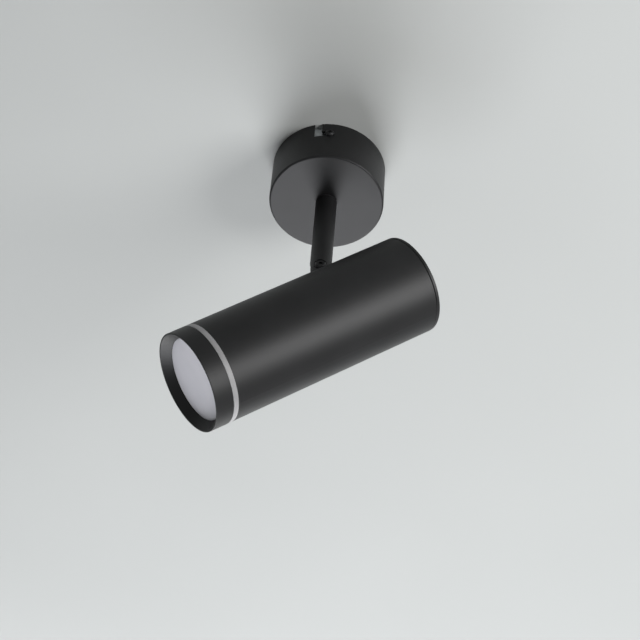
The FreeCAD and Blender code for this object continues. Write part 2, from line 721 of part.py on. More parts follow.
def slot_end(body):
    """Cuts the tongue's slot and the pivot screw's hole."""
    sketch = new_sketch(body, "XZ_Plane")
    draw_outline(sketch, rectangle_points("-stem_dia", "stem_dia", "-pivot_drop - stem_dia", "fork_floor"))
    pocket(body, sketch, "2 * slot_half", middle=True)
    sketch = new_sketch(body, "XZ_Plane")
    draw_circle(sketch, "0", "-pivot_drop", "pivot_dia / 2")
    pocket(body, sketch, "stem_dia", middle=True)


def make_stem_tube():
    """The round stem, slotted and rounded at its lower end, with the pivot screw's seats."""
    body = new_body("stem_tube")
    turn(body, ring_points("nipple_radius", "stem_dia / 2", "-pivot_drop", "stem_top"))
    ease_rim(body, "stem_dia / 2", "stem_top", "edge_break")
    round_end(body, "stem_dia / 2")
    sketch = new_sketch(body, "XY_Plane", "-pivot_drop - stem_dia / 2")
    draw_circle(sketch, "0", "0", "nipple_radius")
    pocket(body, sketch, "stem_dia", onward=True)
    slot_end(body)
    sketch = new_sketch(body, "XZ_Plane", "flat_half")
    draw_circle(sketch, "0", "-pivot_drop", "seat_dia / 2")
    pocket(body, sketch, "stem_dia", onward=True)
    sketch = new_sketch(body, "XZ_Plane", "-flat_half")
    draw_circle(sketch, "0", "-pivot_drop", "seat_dia / 2")
    pocket(body, sketch, "stem_dia")
    return body


def make_stem_fork():
    """The forked plug that fills the stem's end and holds the tongue."""
    body = new_body("stem_fork")
    turn(body, ring_points("0", "nipple_radius", "-pivot_drop", "fork_floor + plug_grip"))
    round_end(body, "nipple_radius")
    slot_end(body)
    sketch = new_sketch(body, "XY_Plane", "fork_floor")
    draw_slot(sketch, "wire_offset", "0", "2 * wire_half", "wire_way")
    pocket(body, sketch, "plug_grip", onward=True)
    return body


# ---------------------------------------------------------------- tongue and tilt pivot

def make_tilt_lug():
    """The tongue on the tube, with a hollow spigot through the tube's wall."""
    body = new_body("tilt_lug")
    pivot = "-pivot_offset"
    half = "tongue_width / 2"
    foot = f"{pivot} + floor_reach"
    sketch = new_sketch(body, "YZ_Plane", foot)
    draw_circle(sketch, "0", "0", "lug_round")
    pad(body, sketch, "lug_foot + tube_wall / 2")
    saddle = new_sketch(body, "XY_Plane")
    draw_circle(saddle, "0", "0", "tube_radius")
    pocket(body, saddle, "2 * lug_round + tube_wall", middle=True)
    sketch = new_sketch(body, "XZ_Plane")
    draw_outline(sketch, rectangle_points(pivot, foot, f"-{half}", half))
    pad(body, sketch, "tongue_thick", middle=True)
    sketch = new_sketch(body, "XZ_Plane")
    draw_circle(sketch, pivot, "0", half)
    pad(body, sketch, "tongue_thick", middle=True)
    sketch = new_sketch(body, "YZ_Plane", foot)
    draw_circle(sketch, "0", "0", "spigot_dia / 2")
    pad(body, sketch, "lug_foot + tube_wall + saddle_thick + big_nut_thick + nipple_end")
    sketch = new_sketch(body, "YZ_Plane", foot)
    draw_circle(sketch, "0", "0", "spigot_bore / 2")
    pocket(body, sketch, "pivot_offset", onward=True)
    sketch = new_sketch(body, "XZ_Plane")
    draw_circle(sketch, pivot, "0", "pivot_dia / 2 + turn_gap")
    pocket(body, sketch, "tongue_thick", middle=True)
    low, high = "wire_offset - wire_way / 2", "wire_offset + wire_way / 2"
    sketch = new_sketch(body, "YZ_Plane", f"{pivot} - {half}")
    draw_outline(sketch, rectangle_points("-wire_half", "wire_half", low, high))
    pocket(body, sketch, f"{half} + floor_reach", onward=True)
    roof = "pivot_dia / 2 + tongue_air"
    sketch = new_sketch(body, "YZ_Plane", f"{pivot} + {roof}")
    draw_outline(sketch, rectangle_points("-wire_half", "wire_half", "0", high))
    pocket(body, sketch, f"floor_reach - ({roof})", onward=True)
    return place_in_head(body)


def make_pivot_screw():
    """The pivot screw, with its round socket head on the near side."""
    grip = "2 * flat_half + friction_thick + pivot_nut_thick + pivot_end"
    body = new_screw("pivot_screw", "pivot_dia / 2", grip, "pivot_head_dia / 2", "pivot_head_high")
    sketch = new_sketch(body, "XY_Plane", "pivot_head_high")
    draw_outline(sketch, hexagon_points("pivot_socket"))
    pocket(body, sketch, "pivot_head_high / 2")
    return place(body, along="-flat_half", up="-pivot_drop", axis=Vector(1, 0, 0), angle="90")


def make_pivot_nut():
    """The lock nut on the far side of the fork."""
    low = "-flat_half - friction_thick - pivot_nut_thick"
    return place_on_pivot(new_nut("pivot_nut", low, "pivot_nut_thick", "pivot_nut_flats", "pivot_dia / 2"))


def make_pivot_washer():
    """The plain washer under the lock nut."""
    body = new_body("pivot_washer")
    turn(body, ring_points("pivot_dia / 2", "pivot_head_dia / 2", "-flat_half - friction_thick", "-flat_half"))
    return place_on_pivot(body)


def make_friction_washers():
    """The two washers between the tongue and the fork's ears."""
    pieces = []
    for side, low in (("near", "tongue_thick / 2 + turn_gap"), ("far", "-slot_half")):
        outer = primitive("Cylinder", f"friction_{side}", Radius="friction_dia / 2", Height="friction_thick")
        inner = primitive("Cylinder", f"friction_bore_{side}", Radius="pivot_dia / 2",
                          Height="friction_thick")
        for disc in (outer, inner):
            place(disc, along=f"-({low})", up="-pivot_drop", axis=Vector(1, 0, 0), angle="90")
        cut = doc.addObject("Part::Cut", f"friction_cut_{side}")
        cut.Base = outer
        cut.Tool = inner
        pieces.append(cut)
    return joined("friction_washers", pieces)


def make_saddle_washer():
    """The washer inside the tube, round on the tube's side and flat under the nut."""
    body = new_body("saddle_washer")
    sketch = new_sketch(body, "YZ_Plane", "-tube_inner")
    draw_circle(sketch, "0", "0", "saddle_dia / 2")
    draw_circle(sketch, "0", "0", "spigot_dia / 2")
    pad(body, sketch, "saddle_thick")
    outside = new_sketch(body, "XY_Plane")
    draw_circle(outside, "0", "0", "tube_inner")
    draw_circle(outside, "0", "0", "tube_dia")
    pocket(body, outside, "2 * saddle_dia", middle=True)
    return place_in_head(body)


def make_lug_nut():
    """The nut that pulls the tongue onto the tube."""
    body = new_nut("lug_nut", "0", "big_nut_thick", "big_nut_flats", "spigot_dia / 2")
    across = "pivot_offset * sin(head_tilt) - (tube_inner - saddle_thick) * sin(head_tilt)"
    up = "-pivot_drop - (pivot_offset - tube_inner + saddle_thick) * cos(head_tilt)"
    return place(body, across=across, up=up, axis=Vector(0, 1, 0), angle="180 - head_tilt")


# ---------------------------------------------------------------- tube and rear cap

def make_body_tube():
    """The long tube, with the spigot's hole in its top."""
    body = new_body("body_tube")
    turn(body, ring_points("tube_inner", "tube_radius", "tube_front", "tube_rear"))
    ease_rim(body, "tube_radius", "tube_front", "edge_break")
    ease_rim(body, "tube_radius", "tube_rear", "edge_break")
    sketch = new_sketch(body, "YZ_Plane", "-tube_radius")
    draw_circle(sketch, "0", "0", "spigot_dia / 2 + turn_gap")
    pocket(body, sketch, "tube_radius", onward=True)
    return place_in_head(body)


def make_rear_cap():
    """The turned cap, with a shadow groove before its rim and a groove for its seal."""
    body = new_body("rear_cap")
    seat = "tube_radius - groove_deep"
    front = "tube_rear - cap_grip"
    turn(body, [("0", "cap_front"), ("fit_radius - cap_wall", "cap_front"),
                ("fit_radius - cap_wall", front), ("fit_radius", front), ("fit_radius", "tube_rear"),
                (seat, "tube_rear"), (seat, "cap_front"), ("tube_radius", "cap_front"),
                ("tube_radius", "lug_back"), ("0", "lug_back")])
    middle = "tube_rear - cap_grip / 2"
    deep = "tube_inner - seal_section"
    turn(body, ring_points(deep, "tube_radius - tube_wall", f"{middle} - seal_section / 2",
                           f"{middle} + seal_section / 2"), cut=True)
    ease_rim(body, "tube_radius", "lug_back", "cap_edge")
    ease_rim(body, "tube_radius", "cap_front", "edge_break")
    return place_in_head(body)


def make_cap_seal():
    """The sealing ring between the rear cap and the tube."""
    seal = primitive("Torus", "cap_seal_ring", Radius1="tube_inner - seal_section / 2",
                     Radius2="seal_section / 2")
    place(seal, up="tube_rear - cap_grip / 2")
    group = joined("cap_seal", [seal])
    return place_in_head(group)


# ---------------------------------------------------------------- light end

def make_front_ring():
    """The turned ring with its coned bezel, lip, collar in the tube and light ports."""
    body = new_body("front_ring")
    turn(body, [("tube_radius - rim_thick", "front_face"), ("tube_radius", "front_face"),
                ("tube_radius", "glow_front"), ("fit_radius", "glow_front"), ("fit_radius", "ring_rear"),
                ("pocket_radius", "ring_rear"), ("pocket_radius", "lip_back"),
                ("window_radius", "lip_back"), ("window_radius", "lip_front")])
    ease_rim(body, "tube_radius", "front_face", "edge_break")
    ease_rim(body, "tube_radius - rim_thick", "front_face", "edge_break")
    ease_rim(body, "tube_radius", "glow_front", "edge_break")
    sketch = new_sketch(body, "XZ_Plane")
    draw_outline(sketch, rectangle_points("-port_width / 2", "port_width / 2", "glow_front", "tube_front"))
    port = pocket(body, sketch, "tube_dia")
    repeat_round(body, port, "glow_ports")
    return place_in_head(body)


def make_light_ring():
    """The frosted acrylic ring flush with the tube."""
    body = new_body("light_ring")
    turn(body, ring_points("fit_radius + fit_gap", "tube_radius", "glow_front", "tube_front"))
    return place_in_head(body)


def make_diffuser():
    """The opal disc, with a raised middle that fills the lip's opening."""
    body = new_body("diffuser")
    face = "window_radius - diffuser_gap"
    edge = "pocket_radius - fit_gap"
    turn(body, [("0", "keeper_front"), ("0", "lip_front + diffuser_gap / 2"),
                (face, "lip_front + diffuser_gap / 2"), (face, "lip_back"), (edge, "lip_back"),
                (edge, "keeper_front")])
    return place_in_head(body)


def make_diffuser_keeper():
    """The threaded ring that keeps the diffuser against the lip."""
    body = new_body("diffuser_keeper")
    turn(body, ring_points("pocket_radius - keeper_wall", "pocket_radius", "keeper_front",
                           "keeper_front + keeper_thick"))
    return place_in_head(body)


def make_reflector():
    """The white reflector ring between the front ring's collar and the light board."""
    body = new_body("reflector")
    wide = "pocket_radius - reflector_wall"
    narrow = "pocket_radius - reflector_wall - reflector_narrow"
    flange = "ring_rear + reflector_wall"
    turn(body, [(wide, "ring_rear"), ("fit_radius", "ring_rear"), ("fit_radius", flange),
                (f"{wide} + reflector_wall", flange), (f"{narrow} + reflector_wall", "board_front"),
                (narrow, "board_front")])
    return place_in_head(body)


def make_led_board():
    """The round light board on its metal base, with its screw and wire holes."""
    body = new_body("led_board")
    turn(body, [("0", "board_front"), ("board_radius", "board_front"), ("board_radius", "board_rear"),
                ("0", "board_rear")])
    sketch = new_sketch(body, "XY_Plane", "board_front")
    draw_circle(sketch, "0", "board_screw_orbit", "board_screw_dia / 2")
    draw_circle(sketch, "0", "-board_screw_orbit", "board_screw_dia / 2")
    for along in lead_rows():
        draw_circle(sketch, "0", along, "lead_dia / 2")
    pocket(body, sketch, "board_thick", onward=True)
    return place_in_head(body)


def lead_rows():
    """Where the two leads of a pair lie."""
    return ("lead_spread / 2", "-lead_spread / 2")


def make_thermal_pad():
    """The soft pad between the light board and the heat sink."""
    body = new_body("thermal_pad")
    radius = "board_radius - pad_inset"
    turn(body, [("0", "board_rear"), (radius, "board_rear"), (radius, "sink_front"), ("0", "sink_front")])
    sketch = new_sketch(body, "XY_Plane", "board_rear")
    draw_circle(sketch, "0", "board_screw_orbit", "board_screw_dia / 2")
    draw_circle(sketch, "0", "-board_screw_orbit", "board_screw_dia / 2")
    for along in lead_rows():
        draw_circle(sketch, "0", along, "lead_dia / 2")
    pocket(body, sketch, "pad_thick", onward=True)
    return place_in_head(body)


def make_led_chips():
    """The light chips in a circle on the board."""
    pieces = []
    count = round(value("chip_count"))
    for index in range(count):
        chip = primitive("Box", f"chip_{index}", Length="chip_size", Width="chip_size", Height="chip_high")
        angle = f"360 * {index} / {count}"
        corner = "chip_orbit - chip_size / 2"
        across = f"({corner}) * cos({angle}) + chip_size / 2 * sin({angle})"
        along = f"({corner}) * sin({angle}) - chip_size / 2 * cos({angle})"
        place(chip, across=across, along=along, up="board_front - chip_high", angle=angle)
        pieces.append(chip)
    return place_in_head(joined("led_chips", pieces))


def plain_screw(name, across, along, up, radius, length, rearward):
    """A cylinder-headed screw along the head, whose shank runs to the rear or to the front."""
    head_high = f"({radius}) * 1.2"
    head_low = f"({up}) - {head_high}" if rearward else up
    shank_low = up if rearward else f"({up}) - ({length})"
    head = primitive("Cylinder", f"{name}_head", Radius=f"({radius}) * 1.9", Height=head_high)
    place(head, across=across, along=along, up=head_low)
    shank = primitive("Cylinder", f"{name}_shank", Radius=radius, Height=length)
    place(shank, across=across, along=along, up=shank_low)
    screw = doc.addObject("Part::Fuse", name)
    screw.Base = head
    screw.Tool = shank
    return screw


def make_board_screws():
    """The two screws that press the board onto the heat sink."""
    length = "board_thick + pad_thick + sink_plate / 2"
    pieces = [plain_screw(f"board_screw_{side}", "0", along, "board_front", "board_screw_dia / 2", length, True)
              for side, along in (("left", "board_screw_orbit"), ("right", "-board_screw_orbit"))]
    return place_in_head(joined("board_screws", pieces))


def make_heat_sink():
    """The heat sink: a plate pressed into the tube, a core and straight fins."""
    body = new_body("heat_sink")
    turn(body, [("0", "sink_front"), ("tube_inner", "sink_front"), ("tube_inner", "sink_rear"),
                ("sink_core", "sink_rear"), ("sink_core", "fins_rear"), ("0", "fins_rear")])
    sketch = new_sketch(body, "XY_Plane", "sink_rear")
    draw_outline(sketch, rectangle_points("sink_core - fin_thick", "fin_reach", "-fin_thick / 2",
                                          "fin_thick / 2"))
    fin = pad(body, sketch, "fin_length")
    repeat_round(body, fin, "fin_count")
    sketch = new_sketch(body, "XY_Plane", "sink_front")
    draw_circle(sketch, "0", "board_screw_orbit", "board_screw_dia / 2")
    draw_circle(sketch, "0", "-board_screw_orbit", "board_screw_dia / 2")
    pocket(body, sketch, "sink_plate / 2", onward=True)
    sketch = new_sketch(body, "XY_Plane", "sink_front")
    for along in lead_rows():
        draw_circle(sketch, "0", along, "lead_dia / 2")
    pocket(body, sketch, "sink_plate + fin_length", onward=True)
    sketch = new_sketch(body, "XY_Plane", "fins_rear")
    draw_circle(sketch, "driver_screw_orbit", "0", "driver_screw_dia / 2")
    draw_circle(sketch, "-driver_screw_orbit", "0", "driver_screw_dia / 2")
    pocket(body, sketch, "fin_length / 2")
    return place_in_head(body)


# ---------------------------------------------------------------- driver and leads

def make_driver_housing():
    """The driver's cup, open to the rear and screwed to the heat sink's core."""
    body = new_body("driver_housing")
    inner, floor = "driver_radius - driver_wall", "fins_rear + driver_wall"
    turn(body, [("0", "fins_rear"), ("driver_radius", "fins_rear"), ("driver_radius", "driver_rear"),
                (inner, "driver_rear"), (inner, floor), ("0", floor)])
    sketch = new_sketch(body, "XY_Plane", "fins_rear")
    for along in lead_rows():
        draw_circle(sketch, "0", along, "lead_dia / 2")
    draw_circle(sketch, "driver_screw_orbit", "0", "driver_screw_dia / 2")
    draw_circle(sketch, "-driver_screw_orbit", "0", "driver_screw_dia / 2")
    pocket(body, sketch, "driver_wall", onward=True)
    return place_in_head(body)


def make_driver_lid():
    """The driver's lid, with the slot that the supply leads enter by."""
    body = new_body("driver_lid")
    turn(body, [("0", "driver_rear - driver_lid"), ("driver_radius - driver_wall", "driver_rear - driver_lid"),
                ("driver_radius - driver_wall", "driver_rear"), ("0", "driver_rear")])
    sketch = new_sketch(body, "XY_Plane", "driver_rear")
    draw_slot(sketch, "-entry_orbit", "0", "lead_spread + wire_way", "wire_way")
    pocket(body, sketch, "driver_lid")
    return place_in_head(body)


def make_driver_card():
    """The driver's circuit board, on edge along the head."""
    card = primitive("Box", "driver_card_plate", Length="card_thick", Width="card_width",
                     Height="card_length")
    place(card, across="-card_thick / 2", along="-card_width / 2", up="card_front")
    return place_in_head(joined("driver_card", [card]))


def make_driver_coil():
    """The transformer on the circuit board."""
    coil = primitive("Box", "driver_coil_block", Length="coil_size", Width="coil_size",
                     Height="coil_length")
    place(coil, across="card_thick / 2", along="-coil_size / 2",
          up="card_front + (card_length - coil_length) / 2")
    return place_in_head(joined("driver_coil", [coil]))


def make_driver_can():
    """The capacitor that lies on the circuit board."""
    can = primitive("Cylinder", "driver_can_body", Radius="can_dia / 2", Height="can_length")
    place(can, across="-card_thick / 2 - can_dia / 2", along="card_width / 2 - can_dia",
          up="card_front + (card_length - can_length) / 2")
    return place_in_head(joined("driver_can", [can]))


def make_driver_screws():
    """The two screws that hold the driver housing to the heat sink's core."""
    up = "fins_rear + driver_wall"
    pieces = [plain_screw(f"driver_screw_{side}", across, "0", up, "driver_screw_dia / 2",
                          "driver_wall + fin_length / 2", False)
              for side, across in (("left", "driver_screw_orbit"), ("right", "-driver_screw_orbit"))]
    return place_in_head(joined("driver_screws", pieces))


def make_board_leads():
    """The two straight leads from the driver to the light board."""
    pieces = []
    for side, along in zip(("left", "right"), lead_rows()):
        lead = primitive("Cylinder", f"board_lead_{side}", Radius="lead_dia / 2",
                         Height="card_front - board_front")
        place(lead, along=along, up="board_front")
        pieces.append(lead)
    return place_in_head(joined("board_leads", pieces))


def bent_rod(points, radius):
    """A round rod along straight runs joined by tangent arcs."""
    edges = []
    start = points[0]
    for before, corner, after in zip(points, points[1:], points[2:]):
        back = (before - corner).normalize()
        onward = (after - corner).normalize()
        half_turn = (math.pi - back.getAngle(onward)) / 2
        reach = 0.45 * min((before - corner).Length, (after - corner).Length)
        bend = reach / math.tan(half_turn)
        inward = (back + onward).normalize()
        middle = corner + inward * (bend / math.cos(half_turn) - bend)
        arc_start = corner + back * reach
        arc_end = corner + onward * reach
        edges.append(Part.LineSegment(start, arc_start).toShape())
        edges.append(Part.Arc(arc_start, middle, arc_end).toShape())
        start = arc_end
    edges.append(Part.LineSegment(start, points[-1]).toShape())
    path = Part.Wire(edges)
    section = Part.Wire(Part.makeCircle(radius, points[0], points[1] - points[0]))
    rod = path.makePipeShell([section], True, True)
    if abs(rod.Volume - math.pi * radius ** 2 * path.Length) > 0.01 * rod.Volume:
        raise ValueError("a bent rod has a wrong volume")
    return rod


def new_leads(label, route):
    """A pair of leads side by side along a route of (X, Z) formulas."""
    rods = []
    for along in lead_rows():
        points = [Vector(value(across), value(along), value(up)) for across, up in route]
        rods.append(bent_rod(points, value("lead_dia / 2")))
    leads = doc.addObject("Part::Feature", label)
    leads.Label = label
    leads.Shape = Part.makeCompound(rods)
    return leads


def make_stem_leads():
    """The leads from the cup through the nipple and the stem to the fork's slot."""
    bend_high = "stem_top - nipple_grip - plug_grip / 2"
    bend_low = "fork_floor + plug_grip * 1.5"
    route = [("0", "nipple_top + nipple_end"), ("0", bend_high), ("wire_offset", bend_low),
             ("wire_offset", "fork_floor")]
    return place(new_leads("stem_leads", route))


def make_head_leads():
    """The leads from the tongue through its spigot into the driver."""
    route = [("-pivot_offset - wire_way", "wire_offset"), ("-pivot_offset + wire_offset", "wire_offset"),
             ("-pivot_offset + pivot_reach", "0"), ("-entry_orbit", "0"),
             ("-entry_orbit", "driver_rear - driver_lid - wire_way")]
    return place_in_head(new_leads("head_leads", route))


MAKERS = [
    make_canopy_cup, make_mounting_bracket, make_side_screws, make_terminal_block,
    make_terminal_sleeves, make_clamp_screws, make_block_screw, make_earth_screw,
    make_earth_washer, make_swivel_bush, make_stop_peg, make_stop_washer, make_cone_spring,
    make_swivel_nut, make_stem_nipple, make_stem_tube, make_stem_fork, make_stem_leads,
    make_tilt_lug, make_pivot_screw, make_pivot_nut, make_pivot_washer, make_friction_washers,
    make_saddle_washer, make_lug_nut, make_body_tube, make_rear_cap, make_cap_seal,
    make_front_ring, make_light_ring, make_diffuser, make_diffuser_keeper, make_reflector,
    make_led_board, make_thermal_pad, make_led_chips, make_board_screws, make_heat_sink,
    make_driver_housing, make_driver_lid, make_driver_card, make_driver_coil, make_driver_can,
    make_driver_screws, make_board_leads, make_head_leads,
]

pieces = []
for maker in MAKERS:
    made = maker()
    pieces.extend([made] if hasattr(made, "Shape") else made)
doc.recompute()

for item in doc.Objects:
    if "Invalid" in item.State or "Error" in item.State:
        raise ValueError(f"{item.Label} is in state {item.State}")
for piece in pieces:
    if piece.Shape.isNull() or not piece.Shape.isValid() or piece.Shape.Volume <= 0:
        raise ValueError(f"{piece.Label} has no sound shape")

os.makedirs("parts", exist_ok=True)
for piece in pieces:
    piece.Shape.exportStep(os.path.join("parts", f"{piece.Label}.step"))
    box = piece.Shape.BoundBox
    print(f"{piece.Label}: {len(piece.Shape.Solids)} solids, {piece.Shape.Volume:.1f} mm3, "
          f"Z {box.ZMin:.2f} to {box.ZMax:.2f}")
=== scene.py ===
"""Surface mounted ceiling spotlight: finishes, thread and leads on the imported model, in metres."""
import math

import bmesh
import bpy
from mathutils import Matrix, Vector


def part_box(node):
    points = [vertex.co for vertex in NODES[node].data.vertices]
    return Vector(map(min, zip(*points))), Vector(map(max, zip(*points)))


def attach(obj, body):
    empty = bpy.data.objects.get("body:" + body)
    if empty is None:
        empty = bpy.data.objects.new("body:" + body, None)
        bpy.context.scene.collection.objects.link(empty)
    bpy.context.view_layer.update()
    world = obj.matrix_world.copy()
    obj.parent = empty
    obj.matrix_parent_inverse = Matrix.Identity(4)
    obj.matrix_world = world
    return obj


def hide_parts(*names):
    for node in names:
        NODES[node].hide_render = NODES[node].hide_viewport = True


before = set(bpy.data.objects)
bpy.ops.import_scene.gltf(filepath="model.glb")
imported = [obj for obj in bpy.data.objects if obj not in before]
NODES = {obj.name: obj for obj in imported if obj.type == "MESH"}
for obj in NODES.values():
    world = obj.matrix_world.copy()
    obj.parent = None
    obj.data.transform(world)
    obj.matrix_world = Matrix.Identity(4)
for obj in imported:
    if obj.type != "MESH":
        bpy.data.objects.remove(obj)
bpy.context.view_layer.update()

bl_info = {
    "name": "Ceiling Spotlight",
    "version": (1, 0, 0),
    "blender": (4, 5, 0),
    "location": "3D View > Sidebar > Spotlight",
    "description": "Dresses a surface mounted ceiling spotlight",
    "category": "Object",
}

MM = 0.001
SWIVEL_AXIS = Vector((0, 0, 1))
CUP_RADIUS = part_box("canopy_cup")[1][0]
# The ceiling stays this far off the cup's rim, and its cable hole this far inside it.
CEILING_GAP = 0.05 * MM
HOLE_MARGIN = 5 * MM
HOLE_SIDES = 96
# Most of a noise's values lie between these.
NOISE_LOW = 0.3
NOISE_HIGH = 0.7
GRAIN_DETAIL = 3.0
RELIEF_STRENGTH = 0.5
# Points of a new piece that lie nearer than this are one point.
MERGE_DISTANCE = 1e-7
BROWN_LEAD = ("#5A2E1C", "#6B3823")
BLUE_LEAD = ("#1D3F6E", "#27508A")
LEAD_GLOSS = (0.40, 0.55)
# Soft square panels round the lamp: name, place and width in metres, power in watts, and colour.
PANELS = (
    ("panel_below", (-0.07, 1.1, -1.42), 1.15, 25.5, "#F8FAFF"),
    ("panel_right", (1.08, -0.54, -0.56), 0.76, 19.0, "#FFFFFF"),
    ("panel_right_behind", (1.4, 0.7, -0.6), 0.9, 1.2, "#FFFFFF"),
    ("panel_left", (-1.6, 0.1, -0.9), 1.4, 2.4, "#FFFFFF"),
    ("panel_front", (0.1, -1.9, -0.7), 1.6, 2.4, "#FFFFFF"),
    ("panel_behind", (0.1, 1.85, -0.7), 1.3, 29.0, "#FFFFFF"),
    ("panel_above", (0.3, 1.2, 1.1), 2.0, 12.0, "#FFFFFF"),
)
PANEL_AIM = Vector((-0.02, 0, -0.12))


# ---------------------------------------------------------------- settings

class SpotlightFinish(bpy.types.PropertyGroup):
    """Colours and textures of the spotlight's surfaces."""
    coat_color: bpy.props.StringProperty(
        name="Coat", description="Black powder coat, sRGB hex", default="#0D0D0E")
    coat_cloud: bpy.props.StringProperty(
        name="Coat clouds", description="Lighter clouds in the powder coat, sRGB hex",
        default="#131314")
    acrylic_color: bpy.props.StringProperty(
        name="Acrylic band", description="Frosted acrylic, sRGB hex", default="#8B8A8B")
    acrylic_cloud: bpy.props.StringProperty(
        name="Acrylic clouds", description="Lighter clouds in the frosted acrylic, sRGB hex",
        default="#929192")
    diffuser_color: bpy.props.StringProperty(
        name="Diffuser", description="Opal acrylic, sRGB hex", default="#DCDBE1")
    diffuser_cloud: bpy.props.StringProperty(
        name="Diffuser clouds", description="Lighter clouds in the opal acrylic, sRGB hex",
        default="#E0DFE5")
    coat_grain: bpy.props.FloatProperty(
        name="Coat grain", description="Size of one grain of the coat",
        default=0.35 * MM, min=0.05 * MM, max=2 * MM, subtype="DISTANCE", unit="LENGTH")
    coat_ripple: bpy.props.FloatProperty(
        name="Coat ripple", description="Length of the coat's slow ripple",
        default=2.6 * MM, min=0.3 * MM, max=10 * MM, subtype="DISTANCE", unit="LENGTH")
    peel_depth: bpy.props.FloatProperty(
        name="Ripple depth", description="Depth of the coat's slow ripple",
        default=0.01 * MM, min=0.0, max=0.1 * MM, subtype="DISTANCE", unit="LENGTH")
    coat_smooth: bpy.props.FloatProperty(
        name="Coat at its smoothest", description="Roughness of the coat's glossiest grains",
        default=0.44, min=0.05, max=1.0, subtype="FACTOR")
    coat_rough: bpy.props.FloatProperty(
        name="Coat at its roughest", description="Roughness of the coat's dullest grains",
        default=0.53, min=0.05, max=1.0, subtype="FACTOR")


class SpotlightPieces(bpy.types.PropertyGroup):
    """Sizes of the threaded nipple and of the leads in the cup."""
    thread_radius: bpy.props.FloatProperty(
        name="Thread", description="Outside radius of the nipple's thread",
        default=5 * MM, min=4.6 * MM, max=5 * MM, subtype="DISTANCE", unit="LENGTH")
    thread_root: bpy.props.FloatProperty(
        name="Thread root", description="Radius at the foot of the nipple's thread",
        default=4.5 * MM, min=4 * MM, max=4.8 * MM, subtype="DISTANCE", unit="LENGTH")
    thread_pitch: bpy.props.FloatProperty(
        name="Thread pitch", description="Rise of the nipple's thread in one turn",
        default=1 * MM, min=0.5 * MM, max=1.5 * MM, subtype="DISTANCE", unit="LENGTH")
    nipple_bore: bpy.props.FloatProperty(
        name="Nipple bore", description="Radius of the nipple's bore",
        default=3.5 * MM, min=2 * MM, max=3.9 * MM, subtype="DISTANCE", unit="LENGTH")
    lead_diameter: bpy.props.FloatProperty(
        name="Lead", description="Diameter of an insulated lead in the cup",
        default=1.5 * MM, min=0.8 * MM, max=1.8 * MM, subtype="DISTANCE", unit="LENGTH")


class SpotlightStage(bpy.types.PropertyGroup):
    """Camera, ceiling and light."""
    lens: bpy.props.FloatProperty(
        name="Lens", description="Focal length on a 36 mm sensor",
        default=106.24, min=10, subtype="DISTANCE_CAMERA", unit="CAMERA")
    camera_place: bpy.props.FloatVectorProperty(
        name="Camera", description="Camera from the ceiling's centre", size=3,
        default=(0.0303, -0.7165, -0.9833), subtype="XYZ_LENGTH", unit="LENGTH")
    camera_climb: bpy.props.FloatProperty(
        name="Climb", description="Camera's angle above the horizon",
        default=math.radians(49.36), subtype="ANGLE", unit="ROTATION")
    camera_heading: bpy.props.FloatProperty(
        name="Heading", description="Camera's turn from +Y towards -X",
        default=math.radians(2.24), subtype="ANGLE", unit="ROTATION")
    camera_roll: bpy.props.FloatProperty(
        name="Roll", description="Camera's roll about its view",
        default=math.radians(4.82), subtype="ANGLE", unit="ROTATION")
    ceiling_color: bpy.props.StringProperty(
        name="Ceiling", description="Painted ceiling, sRGB hex", default="#B2B4B2")
    ceiling_cloud: bpy.props.StringProperty(
        name="Ceiling clouds", description="Lighter clouds in the ceiling's paint, sRGB hex",
        default="#B5B7B5")
    ceiling_hole: bpy.props.FloatProperty(
        name="Cable hole", description="Radius of the opening in the ceiling, inside the cup",
        default=CUP_RADIUS - HOLE_MARGIN, min=0.001, subtype="DISTANCE", unit="LENGTH")
    ceiling_reach: bpy.props.FloatProperty(
        name="Ceiling's reach", description="Radius of the ceiling",
        default=6.0, min=1.0, subtype="DISTANCE", unit="LENGTH")
    fade_start: bpy.props.FloatProperty(
        name="Fade start", description="Distance at which the ceiling starts to fade",
        default=0.45, min=0.2, subtype="DISTANCE", unit="LENGTH")
    fade_end: bpy.props.FloatProperty(
        name="Fade end", description="Distance at which the ceiling has faded away",
        default=1.0, min=0.3, subtype="DISTANCE", unit="LENGTH")
    room_color: bpy.props.StringProperty(
        name="Room", description="Light from the room all round, sRGB hex", default="#E6EAEC")
    room_light: bpy.props.FloatProperty(
        name="Room light", description="Strength of the light from the room all round",
        default=0.05, min=0.0, max=1.0)
    backdrop_color: bpy.props.StringProperty(
        name="Backdrop", description="What the camera sees past the ceiling, sRGB hex",
        default="#F2F3F3")
    backdrop_gloss: bpy.props.FloatProperty(
        name="Backdrop in gloss", description="Share of the backdrop that gloss and glass show",
        default=0.35, min=0.0, max=1.0, subtype="FACTOR")


# ---------------------------------------------------------------- materials

def linear(code):
    """Linear colour of an sRGB hex value."""
    parts = [int(code[place:place + 2], 16) / 255 for place in (1, 3, 5)]
    return tuple(part / 12.92 if part <= 0.04045 else ((part + 0.055) / 1.055) ** 2.4
                 for part in parts) + (1.0,)


def add_node(tree, kind, settings=None, **links):
    """Adds a node, with its settings, and its inputs as values or as links.

    An input goes by its name, with _ for a space, or by its number after a _.
    """
    node = tree.nodes.new(kind)
    for name, setting in (settings or {}).items():
        setattr(node, name, setting)
    for name, source in links.items():
        key = int(name[1:]) if name[1:].isdigit() else name.replace("_", " ")
        socket = node.inputs[key]
        if isinstance(source, bpy.types.NodeSocket):
            tree.links.new(source, socket)
        else:
            socket.default_value = source
    return node


